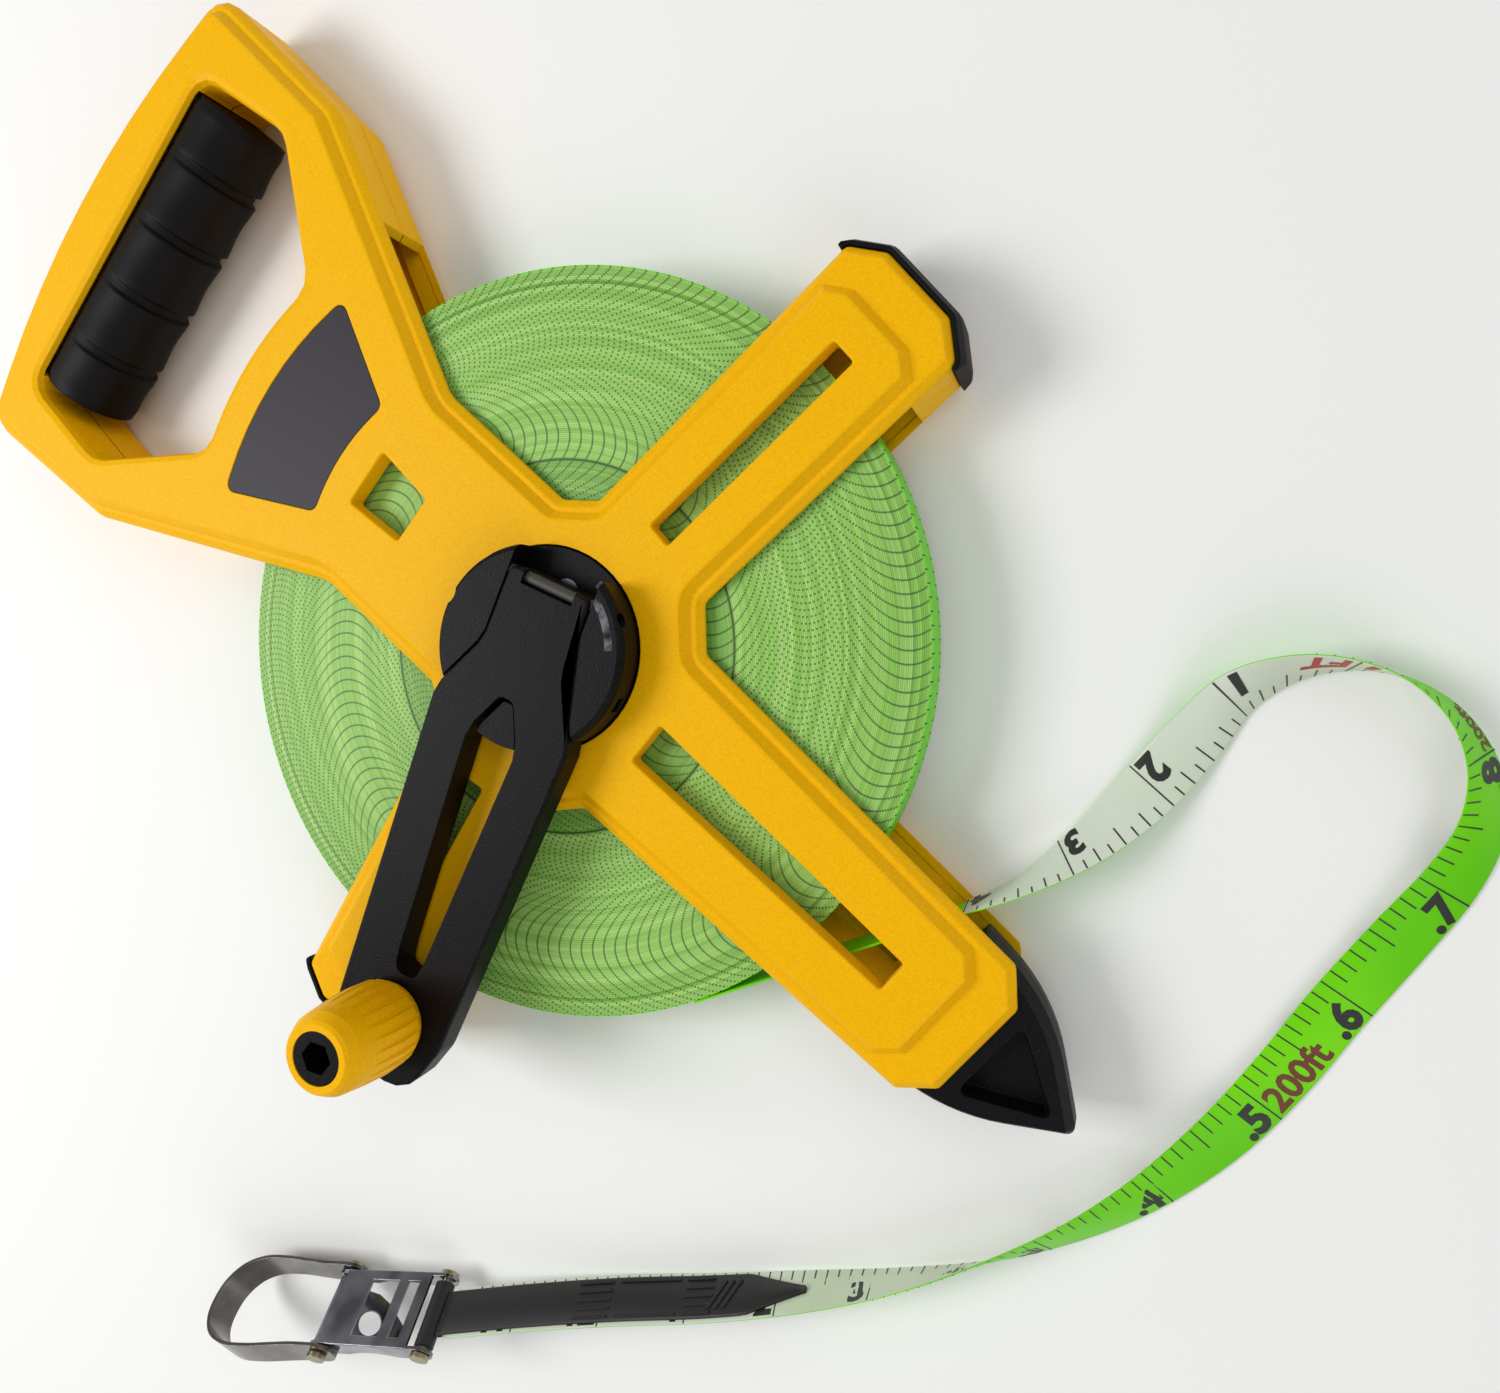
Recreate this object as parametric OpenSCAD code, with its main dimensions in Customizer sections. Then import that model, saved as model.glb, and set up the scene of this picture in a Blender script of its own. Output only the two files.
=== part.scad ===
/* [Tape] */
// Width of the measuring tape
tape_w = 13; // [10:0.5:13]
// Radius of the full winding
pack_r = 94; // [70:1:94]
// Radius of the drum that the tape is wound on
drum_r = 32; // [30:1:40]
// Thickness of the tape
tape_t = 0.5; // [0.4:0.1:0.8]

/* [Frame] */
// Thickness of the frame, front face to rear face
body_t = 26; // [26:0.5:30]
// Wall thickness of the mouldings
wall = 2.2; // [1.6:0.1:2.4]
// How far the raised panel stands above the flange
panel_rise = 2.5; // [1.5:0.1:3]
// Angle of the two short arms below the horizontal
arm_angle = 8.3; // [6:0.1:10]
// Length of a short arm from the axle to its end
arm_len = 120.5; // [116:0.5:122]
// Half the width of a short arm
arm_half = 18.6; // [17:0.1:20]
// Radius of the round opening for the hub
hub_hole_r = 25.5; // [25.4:0.1:27]

/* [Handle] */
// Radius of the rubber grip
grip_r = 12.5; // [11:0.5:12.5]
// Length of the rubber grip
grip_len = 93; // [80:1:94]
// Height of the grip's axis above the axle
grip_y = 171.5; // [170:0.5:172]

/* [Crank] */
// Direction that the crank points in at rest
crank_angle = 197; // [190:1:200]
// Distance from the axle to the knob
crank_r = 103; // [102:0.5:104]
// Radius of the hub disc
hub_r = 25; // [24:0.1:25]
// Largest radius of the knob
knob_r = 11.6; // [10:0.1:12]
// Number of flutes round the knob
flutes = 22; // [16:1:26]

/* [End hook] */
// Distance between the two pins of the end hook
pin_gap = 34; // [30:0.5:35]
// Roll of the hook as it lies on the edge of its bail
hook_roll = -55; // [-60:1:-50]
// Width of the hook between the outsides of its side plates
hook_w = 20; // [19:0.5:20.5]

/* [Hidden] */
$fn = 48;

// Heights: the rear face is the floor, the halves meet at mid
mid = body_t / 2;
flange_z = body_t - panel_rise;
seam = 0.05;
tape_lo = mid - tape_w / 2;
tape_hi = mid + tape_w / 2;
window_lo = 4.6;
ceiling = flange_z - 1.9;

// Where the tape leaves the winding, and where it leaves the frame
exit_x = 20;
exit_y = -115.5;
exit_d = norm([exit_x, exit_y]);
leave_a = atan2(exit_y, exit_x) - acos(pack_r / exit_d);
leave = pack_r * [cos(leave_a), sin(leave_a)];
exit_dir = ([exit_x, exit_y] - leave) / norm([exit_x, exit_y] - leave);
exit_left = [-exit_dir.y, exit_dir.x];

roller_r = 3.5;
roller_gap = 0.6;
roller_mid = [exit_x, exit_y] - 9 * exit_dir - (0.1 + tape_t / 2) * exit_left;

// Crank heights
arm_lo = body_t + 1.5;
arm_hi = body_t + 9.5;
hinge_u = -15.5;
hinge_z = arm_hi - 2.5;
pin_r = 1.5;
knob_lo = arm_hi + 0.3;
knob_hi = arm_hi + 26;
knob_at = crank_r * [cos(crank_angle), sin(crank_angle)];
hub_floor = body_t + 0.5;
hub_top = body_t + 9;
hub_lo = 20;
axle_r = 5;
bush_r = 7.5;
screw_r = 1.6;
head_r = 3.2;

// Screws that join the frame halves, with the height of the boss over each
panel_top = body_t - 1.8;
flange_top = flange_z - 1.5;
frame_screw_at = [
    [58, 164, panel_top], [-58, 164, panel_top], [45, 121, panel_top], [-45, 121, panel_top],
    [105, -15, flange_top], [-105, -15, flange_top], [0, -128, flange_top]
];
// Screws that join the hub disc to the drum, in the crank's own directions
hub_screw_at = [[-15, 0], [9.8, 11.4], [9.8, -11.4]];

// Free tape, laid on the floor: x, y, height, roll of the white face from straight up
route = [
    [20, -115.5, 13, 90], [32, -121, 12, 80], [46, -125, 8, 55], [59, -127, 4.2, 30],
    [71, -127.5, 2.6, 8], [83, -127, 2.6, -12], [95, -126.5, 4.4, -35], [106, -131, 6.2, -60],
    [114, -139, 6.9, -80], [118.5, -149, 6.9, -98], [118.5, -161, 6.3, -116], [113.5, -172, 5.2, -133],
    [104.5, -180, 3.9, -148], [92.5, -184, 2.7, -160], [76, -186, 1.7, -169], [57, -188, 1.2, -173],
    [38, -190.5, 1.4, -172], [18, -191.5, 2.2, -165], [-3, -189.5, 3.8, -150], [-23, -184.5, 5.2, -134],
    [-43, -176.5, 6.3, -118], [-63, -166, 7, -96], [-84, -153, 7, -76], [-106, -138, 7, -63],
    [-128, -121.5, 7.4, -57], [-150, -104.5, 10, -55], [-171, -88, 14.2, -55]
];
hook_at = [-171, -88, 14.2];
hook_dir = atan2(13.5, -16);
hook_half = hook_w / 2;
hook_plate = 0.9;
head_t = 1.2;
eye_r = 3.3;
bail_h = 10.4;
bail_half = hook_half + 1.4;

// ---- outlines ----

function unit(v) = v / norm(v);
function mirrored(right) = concat(right, [for (i = [len(right) - 1:-1:0]) if (right[i].x > 0.01) [-right[i].x, right[i].y, right[i].z]]);
function on_arm(u, v) = [u * cos(arm_angle) + v * sin(arm_angle), v * cos(arm_angle) - u * sin(arm_angle)];

// One corner of an outline moved inwards by d and rounded. Points run clockwise
function corner(a, p, b, d) =
    let (
        e1 = unit([p.x - a.x, p.y - a.y]),
        e2 = unit([b.x - p.x, b.y - p.y]),
        n1 = [e1.y, -e1.x],
        n2 = [e2.y, -e2.x],
        q = [p.x, p.y] + d * (n1 + n2) / (1 + n1 * n2),
        turn = e1.x * e2.y - e1.y * e2.x,
        angle = acos(max(-1, min(1, e1 * e2))),
        r = max(0.25, turn < 0 ? p.z - d : p.z + d),
        n = max(p.z > 40 ? 8 : 1, ceil(angle / 32)),
        reach = r * tan(angle / 2),
        side = turn < 0 ? -1 : 1,
        start = q - reach * e1,
        centre = start + side * r * [-e1.y, e1.x],
        from = atan2(start.y - centre.y, start.x - centre.x)
    )
    [for (i = [0:n]) centre + r * [cos(from + side * angle * i / n), sin(from + side * angle * i / n)]];

// A closed outline with rounded corners, moved inwards by d
function outline(pts, d = 0) =
    [for (i = [0:len(pts) - 1]) each corner(pts[(i + len(pts) - 1) % len(pts)], pts[i], pts[(i + 1) % len(pts)], d)];

// The frame's outline, with its arm and spike ends cut back by trim
function frame_points(trim = 0) = mirrored([
    [0, 204, 270],
    [71, 189.2, 8],
    [67, 137.5, 6],
    [30.5, 63.5, 6],
    [30, 21.5, 2],
    concat(on_arm(33.5, arm_half), 2),
    concat(on_arm(arm_len - 5.5 - trim, arm_half), 2),
    concat(on_arm(arm_len - trim, arm_half - 8.3), 2),
    concat(on_arm(arm_len - trim, 8.3 - arm_half), 2),
    concat(on_arm(arm_len - 5.5 - trim, -arm_half), 2),
    concat(on_arm(37.5, -arm_half), 2),
    [25.3, -32, 2],
    [20.6, -131 + trim, 2],
    [13.2, -138 + trim, 2]
]);

hand_points = mirrored([[50.5, 178, 6], [53.5, 146, 9], [27, 114.9, 7], [0, 120.7, 95]]);
label_points = mirrored([[0, 111.8, 92], [31, 102.4, 2.5], [17, 75.4, 2.5], [0, 79.2, 58]]);
neck_points = mirrored([[8.1, 68, 0.8], [6.7, 50.3, 0.8]]);
spike_slot_points = mirrored([[5.7, -35, 0.8], [4.1, -113.4, 0.8]]);
arm_slot_points = [
    concat(on_arm(40.3, 3.3), 0.8), concat(on_arm(99.3, 3.3), 0.8),
    concat(on_arm(99.3, -3.3), 0.8), concat(on_arm(40.3, -3.3), 0.8)
];
foot_points = mirrored([[20.6, -122, 1], [18.6, -143.5, 45], [0, -166.5, 2.2]]);
pocket_points = mirrored([[11.5, -141, 1.5], [0, -159.5, 1.5]]);

// A solid through rings of one outline: each ring is [inset, z], lowest first
module loft(pts, rings) {
    n = len(outline(pts));
    points = [for (r = rings) each [for (p = outline(pts, r[0])) [p.x, p.y, r[1]]]];
    sides = [for (k = [0:len(rings) - 2], i = [0:n - 1])
        [k * n + i, k * n + (i + 1) % n, (k + 1) * n + (i + 1) % n, (k + 1) * n + i]];
    top = [for (i = [0:n - 1]) (len(rings) - 1) * n + i];
    bottom = [for (i = [n - 1:-1:0]) i];
    polyhedron(points, concat(sides, [top, bottom]), convexity = 10);
}

module prism(pts, d, z0, z1) {
    translate([0, 0, z0]) linear_extrude(z1 - z0) polygon(outline(pts, d));
}

module disc(r, z0, z1) {
    translate([0, 0, z0]) cylinder(r = r, h = z1 - z0);
}

module at_each(places) {
    for (p = places) translate([p.x, p.y, 0]) children();
}

// ---- frame ----

// The front half as a solid, from the seam to the front face
module half_skin() {
    loft(frame_points(), [
        [0.4, mid + seam], [0, mid + 0.5], [0, flange_z - 2.2], [0.3, flange_z - 1.5], [1.9, flange_z - 0.15],
        [2.3, flange_z]
    ]);
    loft(frame_points(7.5), [
        [3, flange_z - 0.5], [3.3, flange_z], [5, body_t - 0.5], [5.3, body_t - 0.15], [5.9, body_t]
    ]);
}

module half_hollow() {
    prism(frame_points(), wall, mid - 1, ceiling);
    prism(frame_points(7.5), 7.2, ceiling - 1, body_t - 2);
}

// Cuts the side walls away where the winding and the tape pass
module side_windows() {
    h = body_t - 2 * window_lo;
    translate([0, 0, window_lo]) {
        cylinder(r = 97, h = h, $fn = 72);
        translate([-65, 60, 0]) cube([130, 48, h]);
        translate([-30, -150, 0]) cube([60, 120, h]);
        for (s = [0, 1]) mirror([s, 0, 0]) rotate(-arm_angle) translate([60, -30, 0]) cube([42, 60, h]);
    }
}

// Keeps the windows from cutting into the walls of the hand opening
module walls_between() {
    difference() {
        prism(hand_points, -wall, mid + seam, body_t - 1);
        translate([-grip_len / 2 - 0.3, grip_y - 14, 0]) cube([grip_len + 0.6, 40, body_t - 2]);
    }
    for (s = [0, 1]) mirror([s, 0, 0]) prism(arm_slot_points, -1.6, 21, body_t - 1);
    prism(neck_points, -1.6, 21, body_t - 1);
    prism(spike_slot_points, -1.6, 21, body_t - 1);
    for (p = frame_screw_at) translate([p.x, p.y, mid + seam]) cylinder(r = 4.4, h = p.z - mid, $fn = 24);
    at_each(roller_places()) translate([0, 0, tape_hi + 1]) cylinder(r = 3.2, h = panel_top - tape_hi - 1, $fn = 24);
}

function roller_places() = [for (s = [1, -1]) roller_mid + s * (roller_r + roller_gap) * exit_left];

module flared_cut(pts, flare) {
    loft(pts, [[0, -1], [0, body_t - flare], [-0.3 * flare, body_t - 0.3 * flare], [-flare, body_t + 0.01]]);
}

// Room for the black end pieces that the halves clamp
module end_piece_room() {
    h = body_t - 2 * window_lo;
    for (s = [0, 1]) mirror([s, 0, 0]) rotate(-arm_angle)
        translate([arm_len - 7, -30, window_lo]) cube([20, 60, h]);
    translate([-30, -150, window_lo]) cube([60, 28.2, h]);
}

module frame_half() {
    difference() {
        moulding();
        at_each(roller_places()) disc(pin_r + 0.02, 0, body_t - 3);
    }
}

// The half before its bores: resize without a size keeps it as one smooth shell
module moulding() {
    resize([0, 0, 0]) difference() {
        union() {
            difference() {
                half_skin();
                half_hollow();
                side_windows();
                end_piece_room();
            }
            walls_between();
        }
        flared_cut(hand_points, 2.2);
        for (s = [0, 1]) mirror([s, 0, 0]) flared_cut(arm_slot_points, 0.5);
        flared_cut(neck_points, 0.5);
        flared_cut(spike_slot_points, 0.5);
        prism(label_points, 0, body_t - 0.6, body_t + 1);
    }
}

module front_frame() {
    color("#F5B800") difference() {
        frame_half();
        disc(hub_hole_r, 0, body_t + 1);
        at_each(frame_screw_at) disc(screw_r + 0.02, 0, 21.5);
    }
}

module rear_frame() {
    color("#F5B800") difference() {
        union() {
            translate([0, 0, body_t]) mirror([0, 0, 1]) frame_half();
            disc(14, 1, tape_lo - 1.2);
        }
        at_each(frame_screw_at) {
            disc(screw_r + 0.1, -1, mid);
            disc(head_r + 0.2, -1, 6);
        }
        disc(axle_r, -1, mid);
        disc(9, -1, 3.5);
    }
}

module handle_grip() {
    groove = 0.9;
    groove_x = [-30, -10, 10, 30];
    color("#1A1618") {
        difference() {
            translate([-grip_len / 2, grip_y, mid]) rotate([90, 0, 90]) cylinder(r = grip_r, h = grip_len);
            for (x = groove_x) translate([x, grip_y, mid]) rotate([90, 0, 90]) rotate_extrude()
                polygon([[grip_r - groove, 0], [grip_r + 1, -1.2], [grip_r + 1, 1.2]]);
            translate([-60, grip_y + 8, -1]) cube([120, 20, body_t + 2]);
        }
        translate([-grip_len / 2, grip_y + 6, 5]) cube([grip_len, 9, 16]);
    }
}

module bumper() {
    clip_u = arm_len - 7;
    clip_lo = window_lo + 0.2;
    clip_hi = body_t - clip_lo;
    difference() {
        intersection() {
            loft(frame_points(), [[-1, 3.4], [-2.1, 6], [-2.4, 9], [-2.4, 17], [-2.1, 20], [-1, 22.6]]);
            rotate(-arm_angle) translate([clip_u + 0.2, -arm_half - 1.2, 0]) cube([20, 2 * arm_half + 2.4, body_t]);
        }
        prism(frame_points(), -0.1, clip_hi, body_t);
        prism(frame_points(), -0.1, -1, clip_lo);
        prism(frame_points(), 3, -1, body_t);
    }
}

module right_bumper() { color("#1E1A1C") bumper(); }
module left_bumper() { color("#1E1A1C") mirror([1, 0, 0]) bumper(); }

module ground_spike() {
    lo = window_lo + 0.2;
    hi = body_t - lo;
    color("#1E1A1C") difference() {
        loft(foot_points, [[2.2, lo], [0.3, lo + 3.6], [0, mid], [0.3, hi - 3.6], [2.2, hi]]);
        loft(pocket_points, [[1, hi - 4.5], [0, hi + 0.01]]);
        loft(pocket_points, [[0, lo - 0.01], [1, lo + 4.5]]);
        translate([0, -128, 0]) disc(4.6, -1, body_t);
    }
}

module label_plate() {
    loft(label_points, [[0.15, body_t - 0.6], [0.15, body_t - 0.2], [0.35, body_t - 0.08]]);
}

module front_label() { color("#45424A") label_plate(); }
module rear_label() { color("#45424A") translate([0, 0, body_t]) mirror([0, 0, 1]) label_plate(); }

// A cross-headed screw standing head down
module head_down_screw(head_z, tip_z) {
    difference() {
        union() {
            disc(screw_r, head_z, tip_z);
            disc(head_r, head_z - 2.4, head_z);
        }
        for (a = [0, 90]) rotate(a) translate([-2, -0.5, head_z - 3]) cube([4, 1, 2]);
    }
}

module frame_screws() { color("#8A8D92") at_each(frame_screw_at) head_down_screw(6, 20.5); }

module axle() {
    color("#B9BCC2") difference() {
        union() {
            disc(axle_r, 2, 23.4);
            disc(9, 2, 3.5);
        }
        difference() {
            disc(axle_r + 1, 22.02, 22.78);
            disc(4.2, 22, 22.8);
        }
    }
}

module axle_cap() { color("#1E1A1C") disc(8.95, 0, 1.95); }

module thrust_washers() {
    color("#D8D8D4") for (z = [tape_lo - 1.15, hub_lo + 0.3]) difference() {
        disc(9, z, z + 0.9);
        disc(axle_r + 0.1, z - 1, z + 2);
    }
}

module retaining_ring() {
    color("#8A8D92") difference() {
        disc(7.2, 22.05, 22.75);
        disc(4.25, 22, 23);
        translate([0, -2.5, 21]) cube([9, 5, 3]);
    }
}

module roller_pins() { color("#B9BCC2") at_each(roller_places()) disc(pin_r, 3.2, body_t - 3.2); }

module roller() {
    difference() {
        disc(roller_r, tape_lo - 0.6, tape_hi + 0.6);
        disc(pin_r + 0.06, 0, body_t);
    }
}

module inner_roller() { color("#D8D8D4") translate(roller_places()[0]) roller(); }
module outer_roller() { color("#D8D8D4") translate(roller_places()[1]) roller(); }

// ---- spool ----

module spool_drum() {
    color("#2A2628") difference() {
        union() {
            rotate_extrude($fn = 96) {
                translate([drum_r - 2.6, tape_lo]) square([2.5, tape_w]);
                translate([bush_r, mid - 1]) square([drum_r - bush_r - 1, 2]);
                translate([bush_r, tape_lo]) square([3.5, hub_lo - tape_lo]);
            }
            rotate(crank_angle) at_each(hub_screw_at) disc(3.4, mid, hub_lo);
        }
        rotate(crank_angle) at_each(hub_screw_at) disc(screw_r + 0.02, mid - 2, hub_lo + 1);
        for (a = [0:60:300]) rotate(a) translate([22, 0, mid - 2]) cylinder(r = 4, h = 4);
    }
}

// The hub screws stand clear of the drum's central boss
module bush(z0, z1) {
    difference() {
        disc(bush_r, z0, z1);
        disc(axle_r + 0.05, 0, body_t);
    }
}

module front_bush() { color("#D8D8D4") bush(hub_lo - 6, hub_lo); }
module rear_bush() { color("#D8D8D4") bush(tape_lo, tape_lo + 6); }

module tape_pack() {
    color("#9BD862") rotate_extrude($fn = 180) translate([drum_r, tape_lo]) square([pack_r - drum_r, tape_w]);
}

// ---- crank and hub, drawn with the crank along +X, then turned ----

crank_outline = [
    [-17.3, 11.4, 2], [2, 11.8, 8], [18, 19.8, 8], [104, 16.2, 6], [119, 11.5, 9],
    [119, -11.5, 9], [104, -16.2, 6], [18, -19.8, 8], [2, -11.8, 8], [-17.3, -11.4, 2]
];
crank_slot = [
    [13.2, 2, 2], [24, 7.2, 9], [84, 4, 3.5], [90, 3.2, 2.6],
    [90, -3.2, 2.6], [84, -4, 3.5], [24, -7.2, 9], [13.2, -2, 2]
];
// Ground that the crank needs in the hub
crank_bay = [
    [-30, 11.8, 0.5], [1.8, 12.2, 8], [17.6, 20.2, 6], [40, 20.6, 0.5],
    [40, -20.6, 0.5], [17.6, -20.2, 6], [1.8, -12.2, 8], [-30, -11.8, 0.5]
];

module turned() {
    rotate(crank_angle) children();
}

module hub_disc() {
    color("#1E1A1E") turned() difference() {
        union() {
            difference() {
                rotate_extrude($fn = 96) polygon([
                    [0, hub_lo], [hub_r, hub_lo], [hub_r, hub_top - 1.6], [hub_r - 0.5, hub_top - 0.5],
                    [hub_r - 1.4, hub_top], [0, hub_top]
                ]);
                prism(crank_bay, 0, hub_floor, hub_top + 1);
            }
            intersection() {
                prism(crank_slot, 1.1, hub_floor - 1, hub_top - 1);
                disc(hub_r - 0.1, hub_floor - 1, hub_top);
            }
        }
        translate([hinge_u, 30, hinge_z]) rotate([90, 0, 0]) cylinder(r = pin_r, h = 60);
        disc(10, hub_lo - 1, hub_floor - 2);
        difference() {
            disc(hub_r - 2.2, hub_lo - 1, hub_floor - 2);
            disc(18.5, hub_lo - 2, hub_floor);
        }
        at_each(hub_screw_at) {
            disc(screw_r + 0.05, hub_lo - 1, hub_floor + 1);
            disc(head_r + 0.1, hub_floor - 2.5, hub_floor + 1);
        }
        // scallop in the left side sector and latch notch in the right one
        translate([-4, -hub_r - 1.2, hub_floor + 2]) cylinder(r = 3, h = 10);
        translate([3, hub_r - 2, hub_floor + 3]) rotate(8) cube([6, 4, 3], center = true);
    }
}

module hub_screws() {
    color("#8A8D92") turned() at_each(hub_screw_at) {
        difference() {
            union() {
                disc(screw_r, mid + 1, hub_floor - 2.4);
                disc(head_r, hub_floor - 2.4, hub_floor - 0.3);
            }
            for (a = [0, 90]) rotate(a) translate([-2, -0.5, hub_floor - 1.5]) cube([4, 1, 2]);
        }
    }
}

module hinge_pin() {
    color("#8F8A84") turned() translate([hinge_u, 14.5, hinge_z]) rotate([90, 0, 0]) cylinder(r = pin_r, h = 29);
}

module crank_arm() {
    color("#1E1A1E") turned() difference() {
        loft(crank_outline, [[0.5, arm_lo], [0, arm_lo + 0.6], [0, arm_hi - 0.8], [0.25, arm_hi - 0.2], [0.8, arm_hi]]);
        prism(crank_slot, 0, arm_lo - 1, arm_hi + 1);
        // hollow underside between the slot's wall and the rim
        difference() {
            prism(crank_outline, 2.2, arm_lo - 1, arm_hi - 2.4);
            prism(crank_slot, -2, arm_lo - 2, arm_hi);
            translate([-20, -25, 0]) cube([44, 50, arm_hi]);
            translate([crank_r, 0, 0]) disc(9.5, 0, arm_hi);
        }
        translate([hinge_u, 30, hinge_z]) rotate([90, 0, 0]) cylinder(r = pin_r + 0.05, h = 60);
        translate([hinge_u - 4, -7.2, hinge_z]) cube([5.6, 14.4, 5]);
        translate([crank_r, 0, 0]) disc(axle_r, arm_lo - 1, arm_hi + 1);
    }
}

module knob_spindle() {
    color("#141214") translate(knob_at) difference() {
        union() {
            disc(axle_r, arm_lo, knob_hi - 2);
            disc(6.4, knob_hi - 2.05, knob_hi - 0.2);
        }
        translate([0, 0, arm_hi + 4]) cylinder(r = 4.1, h = 40, $fn = 6);
        disc(screw_r + 0.02, arm_lo - 1, arm_hi + 1);
        disc(head_r + 0.1, arm_lo - 1, arm_lo + 2.4);
    }
}

module knob_screw() { color("#8A8D92") translate(knob_at) head_down_screw(arm_lo + 2.4, arm_hi + 0.8); }

module crank_knob() {
    step = 360 / flutes;
    shape = [for (i = [0:flutes - 1]) each [
        for (p = [[0.14, knob_r - 0.8], [0.3, knob_r], [0.7, knob_r], [0.86, knob_r - 0.8]])
            p[1] * [cos((i + p[0]) * step), sin((i + p[0]) * step)]
    ]];
    color("#F5B800") translate(knob_at) difference() {
        intersection() {
            translate([0, 0, knob_lo]) linear_extrude(knob_hi - knob_lo) polygon(shape);
            rotate_extrude($fn = 64) polygon([
                [0, knob_lo], [knob_r - 1.4, knob_lo], [knob_r - 0.3, knob_lo + 2.5], [knob_r, knob_lo + 9],
                [knob_r - 0.4, knob_lo + 15], [knob_r - 1.3, knob_hi - 3.2], [knob_r - 2.6, knob_hi - 0.7],
                [knob_r - 3.4, knob_hi], [0, knob_hi]
            ]);
        }
        disc(axle_r + 0.06, knob_lo - 1, knob_hi);
        disc(6.55, knob_hi - 2.15, knob_hi + 1);
    }
}

// ---- tape and end hook ----

// Flat ribbon through rows of [x, y, z, roll]; half widths and half thicknesses per row
function ribbon_ring(p, dir, half_w, half_t) =
    let (
        left = [-dir.y, dir.x, 0],
        up = [0, 0, 1],
        across = cos(p[3]) * left - sin(p[3]) * up,
        out = cos(p[3]) * up + sin(p[3]) * left,
        q = [p[0], p[1], p[2]]
    )
    [for (c = [[1, 0.5], [0.9, 1], [-0.9, 1], [-1, 0.5], [-1, -0.5], [-0.9, -1], [0.9, -1], [1, -0.5]])
        q + c[0] * half_w * across + c[1] * half_t * out];

function flat_dir(rows, i) = unit([
    rows[min(i + 1, len(rows) - 1)][0] - rows[max(i - 1, 0)][0],
    rows[min(i + 1, len(rows) - 1)][1] - rows[max(i - 1, 0)][1]
]);

// Catmull-Rom point between rows i and i + 1
function between(rows, i, t) =
    let (
        n = len(rows) - 1,
        a = rows[max(i - 1, 0)], b = rows[i], c = rows[i + 1], d = rows[min(i + 2, n)]
    )
    0.5 * (2 * b + (c - a) * t + (2 * a - 5 * b + 4 * c - d) * t * t + (3 * b - a - 3 * c + d) * t * t * t);

function smooth_rows(rows, steps) = concat(
    [for (i = [0:len(rows) - 2], k = [0:steps - 1]) between(rows, i, k / steps)], [rows[len(rows) - 1]]
);

module ribbon(rows, half_w, half_t) {
    m = 8;
    n = len(rows);
    points = [for (i = [0:n - 1]) each ribbon_ring(rows[i], flat_dir(rows, i), half_w[i], half_t)];
    // Both broad faces are split along the same diagonal, so that a thin twisted strip keeps its thickness
    sides = [for (i = [0:n - 2], k = [0:m - 1], half = [0, 1])
        let (a = i * m + k, b = i * m + (k + 1) % m)
        k < 4 ? (half == 0 ? [a, a + m, b + m] : [a, b + m, b])
              : (half == 0 ? [a, a + m, b] : [a + m, b + m, b])];
    first = [for (k = [1:m - 2]) [0, k, k + 1]];
    end = (n - 1) * m;
    last = [for (k = [1:m - 2]) [end, end + k + 1, end + k]];
    polyhedron(points, concat(sides, first, last), convexity = 10);
}

module tape_lead() {
    lead_len = norm([exit_x, exit_y] - leave);
    color("#7EDC1A") translate([leave.x, leave.y, tape_lo]) rotate(atan2(exit_dir.y, exit_dir.x))
        translate([0, -tape_t - 0.1, 0]) cube([lead_len - 0.1, tape_t, tape_w]);
}

function same(n, value) = [for (i = [1:n]) value];

module tape_run() {
    whole = smooth_rows(route, 3);
    last = len(whole) - 1;
    // It stops short of the tape pin, where the sleeve's eye carries on
    rows = [for (i = [0:last]) i < last ? whole[i] : between(route, len(route) - 2, 0.86)];
    color("#7EDC1A") ribbon(rows, same(len(rows), tape_w / 2), tape_t / 2);
}

// The sleeve covers the last stretches of the route, and ends in an eye round the tape pin
module tape_sleeve() {
    n = len(route);
    rows = smooth_rows([for (i = [n - 5:n - 1]) route[i]], 3);
    widths = [for (i = [0:len(rows) - 1]) min(tape_w / 2 + 0.5, 2 + 2.4 * i)];
    color("#1C1A1C") difference() {
        union() {
            ribbon(rows, widths, 0.9);
            in_hook() rotate([90, 0, 0]) translate([0, 0, -8.2]) cylinder(r = 2.7, h = 16.4);
        }
        in_hook() pin_bore(pin_r + 0.05);
    }
}

// The hook's own directions: x along the tape, y across it, z out of its top
module in_hook() {
    translate(hook_at) rotate([0, 0, hook_dir]) rotate([-hook_roll, 0, 0]) children();
}

module cross_pin(half, head) {
    rotate([90, 0, 0]) {
        translate([0, 0, -half]) cylinder(r = pin_r, h = 2 * half);
        for (s = [-1, 1]) translate([0, 0, s * (half + head_t / 2) - head_t / 2]) cylinder(r = head, h = head_t);
    }
}

module pin_bore(r) { rotate([90, 0, 0]) translate([0, 0, -20]) cylinder(r = r, h = 40); }

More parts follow.
